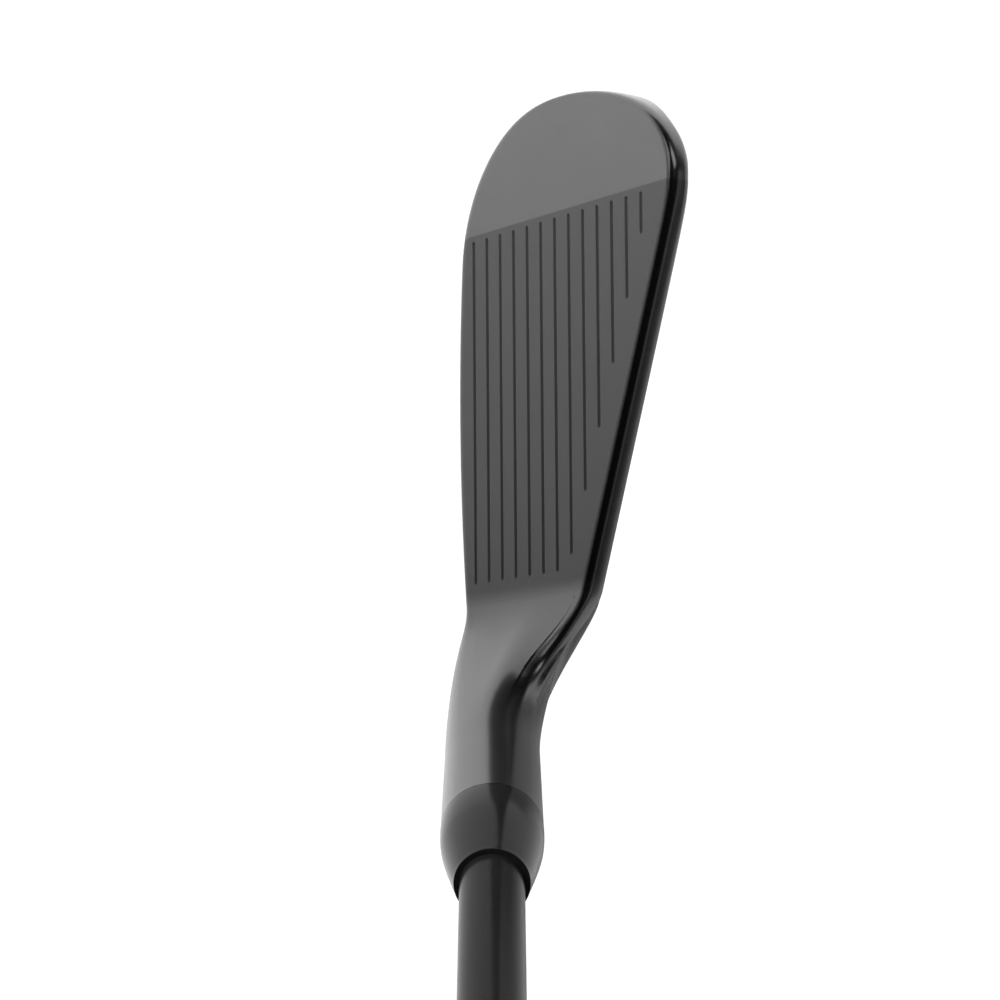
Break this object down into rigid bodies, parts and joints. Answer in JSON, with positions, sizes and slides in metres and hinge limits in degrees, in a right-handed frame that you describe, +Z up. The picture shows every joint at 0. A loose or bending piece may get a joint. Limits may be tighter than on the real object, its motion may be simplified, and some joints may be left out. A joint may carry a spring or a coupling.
{
  "type": "golf club iron",
  "caption": "Iron golf club with a grooved lofted blade, round hosel, black ferrule, slim stepped steel shaft and tapered rubber grip.",
  "frame": {"origin": "the point where the sole rests on the ground, under the middle of the scorelines, with the club at address", "axes": "+Z up; -X towards the toe of the head and +X towards the golfer, so the shaft leans to +X at the 63 degree lie; the face looks to -Y, tilted up by the 33 degree loft, and +Y is behind the head"},
  "size_m": [0.5156, 0.041, 0.8429],
  "materials": {
    "head_steel": "dark satin, polished at the heel and hosel",
    "face_steel": "dark blasted",
    "weight_metal": "raw",
    "core_polymer": "matte",
    "pad_foam": "matte",
    "badge_metal": "brushed, dark anodised",
    "epoxy": "cured resin",
    "ferrule_plastic": "polished",
    "shaft_steel": "glossy black coating",
    "plug_brass": "turned",
    "tape": "matte",
    "grip_rubber": "textured",
    "cap_rubber": "smooth"
  },
  "bodies": {
    "root": {"head_body": "head_steel", "face_plate": "face_steel", "toe_weight": "weight_metal", "damping_core": "core_polymer", "badge_pad": "pad_foam", "cavity_badge": "badge_metal", "hosel_epoxy": "epoxy", "ferrule": "ferrule_plastic", "shaft": "shaft_steel", "swing_weight_plug": "plug_brass", "grip_tape": "tape", "grip_sleeve": "grip_rubber", "grip_cap": "cap_rubber"}
  },
  "joints": []
}
